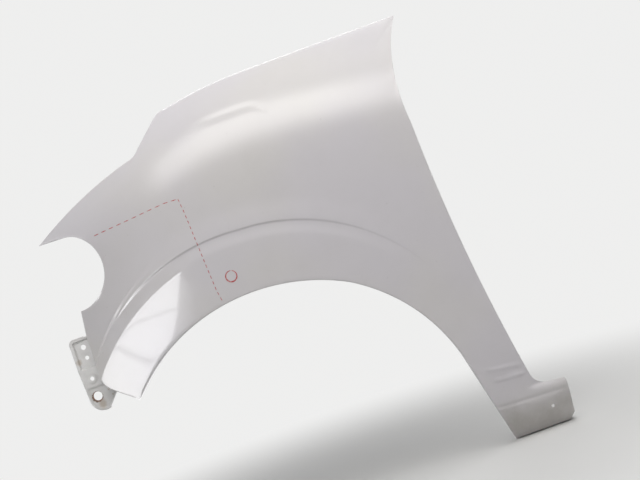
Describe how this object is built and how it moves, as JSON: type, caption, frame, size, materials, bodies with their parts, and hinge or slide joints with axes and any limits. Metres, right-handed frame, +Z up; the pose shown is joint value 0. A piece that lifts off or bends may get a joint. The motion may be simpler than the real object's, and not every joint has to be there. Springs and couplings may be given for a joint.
{
  "type": "car fender",
  "caption": "Left front fender of a small van in pearl-white paint, with a flared wheel arch, turned-in flanges and a small bumper bracket.",
  "frame": {"origin": "underside of the middle bolt pad of the hood flange, where the fender hangs on the body", "axes": "+X towards the rear of the car, +Y inboard, away from the outer face, +Z up, as on the car"},
  "size_m": [0.8887, 0.2039, 0.8575],
  "materials": {
    "panel_paint": "gloss pearl white, used",
    "bracket_paint": "satin white with rust at one hole"
  },
  "bodies": {
    "root": {"fender_panel": "panel_paint", "front_bracket": "bracket_paint"}
  },
  "joints": []
}
